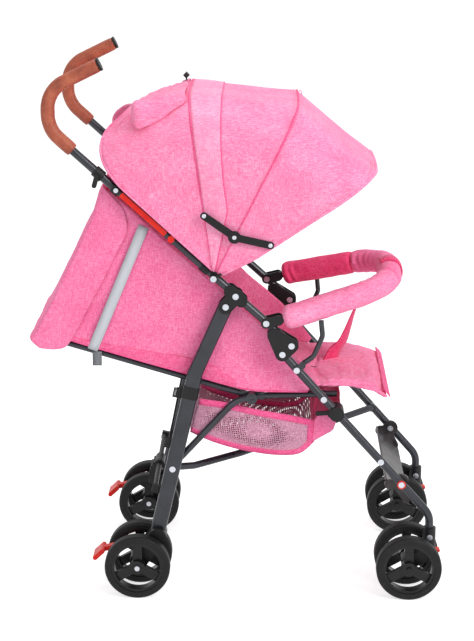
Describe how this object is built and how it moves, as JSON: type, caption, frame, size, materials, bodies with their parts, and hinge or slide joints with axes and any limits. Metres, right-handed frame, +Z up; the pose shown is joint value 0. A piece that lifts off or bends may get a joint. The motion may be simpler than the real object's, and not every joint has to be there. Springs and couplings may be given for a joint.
{
  "type": "baby stroller",
  "caption": "Lightweight baby stroller with a fan canopy over three hoops, reclining seat, padded bumper bar, under-seat basket and swivelling twin front wheels, folding frame.",
  "frame": {"origin": "bottom centre of the overall box, on the ground between the wheels", "axes": "+X forwards, +Y to the stroller's left, +Z up"},
  "size_m": [0.8066, 0.458, 1.0506],
  "materials": {
    "painted_tube": "satin slate powder coat",
    "black_plastic": "moulded, fine grain",
    "grip_leatherette": "brown stitched leatherette over foam",
    "red_plastic": "moulded",
    "pedal_plastic": "moulded, ribbed",
    "bare_tube": "satin, hidden inside the padding",
    "heather_cloth": "heathered polyester, sewn",
    "strap_cloth": "folded and stitched polyester",
    "mesh_cloth": "knitted mesh with bound edges",
    "webbing": "woven polypropylene webbing",
    "zinc_steel": "zinc plated",
    "bow_rod": "moulded",
    "rim_plastic": "moulded, three wide spokes",
    "tyre_foam": "solid foam"
  },
  "bodies": {
    "frame": {"handle_tube_left": "painted_tube", "handle_tube_right": "painted_tube", "front_tube_left": "painted_tube", "front_tube_right": "painted_tube", "fold_plates": "black_plastic", "grip_left": "grip_leatherette", "grip_right": "grip_leatherette", "grip_end_caps": "black_plastic", "leg_brackets": "black_plastic", "tube_clips": "black_plastic", "red_edge_strips": "red_plastic", "bumper_tube": "bare_tube", "bumper_pad": "heather_cloth", "bumper_hoops": "painted_tube", "crotch_strap": "strap_cloth", "corner_block": "black_plastic", "cross_tubes": "painted_tube", "frame_rivets": "zinc_steel", "caster_sockets": "black_plastic", "rear_bow": "bow_rod", "canopy_rear_panel": "heather_cloth", "rolled_flap": "heather_cloth", "flap_toggle": "pedal_plastic", "basket": "mesh_cloth", "head_panel": "heather_cloth", "side_panels": "heather_cloth", "recline_straps": "webbing"},
    "canopy_mid": {"main_bow": "bow_rod", "canopy_main_panel": "heather_cloth"},
    "canopy_front": {"front_bow": "bow_rod", "canopy_front_panel": "heather_cloth"},
    "stay_rear": {"stay_rear_arms": "bow_rod"},
    "stay_front": {"stay_front_arms": "bow_rod"},
    "rear_legs": {"rear_leg_left": "painted_tube", "rear_leg_right": "painted_tube", "leg_sleeves": "black_plastic", "rear_scissor": "black_plastic", "wheel_housings": "black_plastic", "rear_axles": "zinc_steel"},
    "lock_lever": {"lock_pedal": "pedal_plastic"},
    "brake_left": {"brake_pedal_left": "red_plastic"},
    "brake_right": {"brake_pedal_right": "red_plastic"},
    "wheels_rear_left": {"rims_rear_left": "rim_plastic", "tyres_rear_left": "tyre_foam"},
    "wheels_rear_right": {"rims_rear_right": "rim_plastic", "tyres_rear_right": "tyre_foam"},
    "seat": {"seat_tubes": "painted_tube", "seat_pad": "heather_cloth"},
    "backrest": {"back_frame": "painted_tube", "back_pad": "heather_cloth"},
    "braces": {"seat_braces": "painted_tube"},
    "footrest_board": {"footrest": "pedal_plastic"},
    "caster_left": {"fork_left": "black_plastic"},
    "caster_right": {"fork_right": "black_plastic"},
    "lever_left": {"swivel_lever_left": "red_plastic"},
    "lever_right": {"swivel_lever_right": "red_plastic"},
    "wheels_front_left": {"rims_front_left": "rim_plastic", "tyres_front_left": "tyre_foam"},
    "wheels_front_right": {"rims_front_right": "rim_plastic", "tyres_front_right": "tyre_foam"}
  },
  "joints": [
    {"name": "fold", "type": "hinge", "parent": "frame", "child": "rear_legs", "pos_m": [-0.01815, 0.175, 0.5812], "axis": [0, -1, 0], "range_deg": [0, 36], "deforming": ["basket", "side_panels", "head_panel"]},
    {"name": "seat_lift", "type": "hinge", "parent": "frame", "child": "seat", "pos_m": [0.1701, 0.1455, 0.39734], "axis": [0, -1, 0], "range_deg": [-29.7, 0], "deforming": ["side_panels", "head_panel", "crotch_strap"]},
    {"name": "brace_swing", "type": "hinge", "parent": "rear_legs", "child": "braces", "pos_m": [-0.12214, 0.1595, 0.25381], "axis": [0, -1, 0], "range_deg": [0, 25.2]},
    {"name": "recline", "type": "hinge", "parent": "seat", "child": "backrest", "pos_m": [0.03119, 0.14875, 0.39249], "axis": [0, 1, 0], "range_deg": [0, 45], "deforming": ["side_panels", "head_panel", "recline_straps"]},
    {"name": "canopy_fold", "type": "hinge", "parent": "frame", "child": "canopy_mid", "pos_m": [-0.04073, 0.1925, 0.6396], "axis": [0, -1, 0], "range_deg": [0, 29], "deforming": ["canopy_rear_panel", "canopy_main_panel", "canopy_front_panel"]},
    {"name": "canopy_front_fold", "type": "hinge", "parent": "canopy_mid", "child": "canopy_front", "pos_m": [-0.04073, 0.198, 0.6396], "axis": [0, -1, 0], "range_deg": [0, 29], "deforming": ["canopy_front_panel"]},
    {"name": "stay_rear_swing", "type": "hinge", "parent": "frame", "child": "stay_rear", "pos_m": [-0.05785, 0.205, 0.7614], "axis": [0, -1, 0], "range_deg": [-34, 0]},
    {"name": "stay_front_swing", "type": "hinge", "parent": "canopy_front", "child": "stay_front", "pos_m": [0.06613, 0.208, 0.70637], "axis": [0, -1, 0], "range_deg": [0, 52]},
    {"name": "footrest_swing", "type": "hinge", "parent": "frame", "child": "footrest_board", "pos_m": [0.32322, 0.162, 0.22437], "axis": [0, -1, 0], "range_deg": [0, 35]},
    {"name": "lock_press", "type": "hinge", "parent": "rear_legs", "child": "lock_lever", "pos_m": [-0.1577, 0, 0.20662], "axis": [0, -1, 0], "range_deg": [-25, 0]},
    {"name": "brake_left_press", "type": "hinge", "parent": "rear_legs", "child": "brake_left", "pos_m": [-0.2048, 0.175, 0.098], "axis": [0, -1, 0], "range_deg": [0, 15]},
    {"name": "brake_right_press", "type": "hinge", "parent": "rear_legs", "child": "brake_right", "pos_m": [-0.2048, -0.175, 0.098], "axis": [0, -1, 0], "range_deg": [0, 15]},
    {"name": "caster_left_swivel", "type": "hinge", "parent": "frame", "child": "caster_left", "pos_m": [0.3802, 0.175, 0.107], "axis": [0, 0, 1], "continuous": true},
    {"name": "caster_right_swivel", "type": "hinge", "parent": "frame", "child": "caster_right", "pos_m": [0.3802, -0.175, 0.107], "axis": [0, 0, 1], "continuous": true},
    {"name": "lever_left_press", "type": "hinge", "parent": "caster_left", "child": "lever_left", "pos_m": [0.3892, 0.175, 0.084], "axis": [0, -1, 0], "range_deg": [0, 18]},
    {"name": "lever_right_press", "type": "hinge", "parent": "caster_right", "child": "lever_right", "pos_m": [0.3892, -0.175, 0.084], "axis": [0, -1, 0], "range_deg": [0, 18]},
    {"name": "rear_left_spin", "type": "hinge", "parent": "rear_legs", "child": "wheels_rear_left", "pos_m": [-0.1908, 0.175, 0.064], "axis": [0, 1, 0], "continuous": true},
    {"name": "rear_right_spin", "type": "hinge", "parent": "rear_legs", "child": "wheels_rear_right", "pos_m": [-0.1908, -0.175, 0.064], "axis": [0, 1, 0], "continuous": true},
    {"name": "front_left_spin", "type": "hinge", "parent": "caster_left", "child": "wheels_front_left", "pos_m": [0.3392, 0.175, 0.064], "axis": [0, 1, 0], "continuous": true},
    {"name": "front_right_spin", "type": "hinge", "parent": "caster_right", "child": "wheels_front_right", "pos_m": [0.3392, -0.175, 0.064], "axis": [0, 1, 0], "continuous": true}
  ],
  "couplings": [
    {"joint": "seat_lift", "follows": "fold", "ratio": -0.82},
    {"joint": "brace_swing", "follows": "fold", "ratio": 0.695},
    {"joint": "canopy_front_fold", "follows": "canopy_fold", "ratio": 1},
    {"joint": "stay_rear_swing", "follows": "canopy_fold", "ratio": -1.16},
    {"joint": "stay_front_swing", "follows": "canopy_fold", "ratio": 1.776}
  ]
}
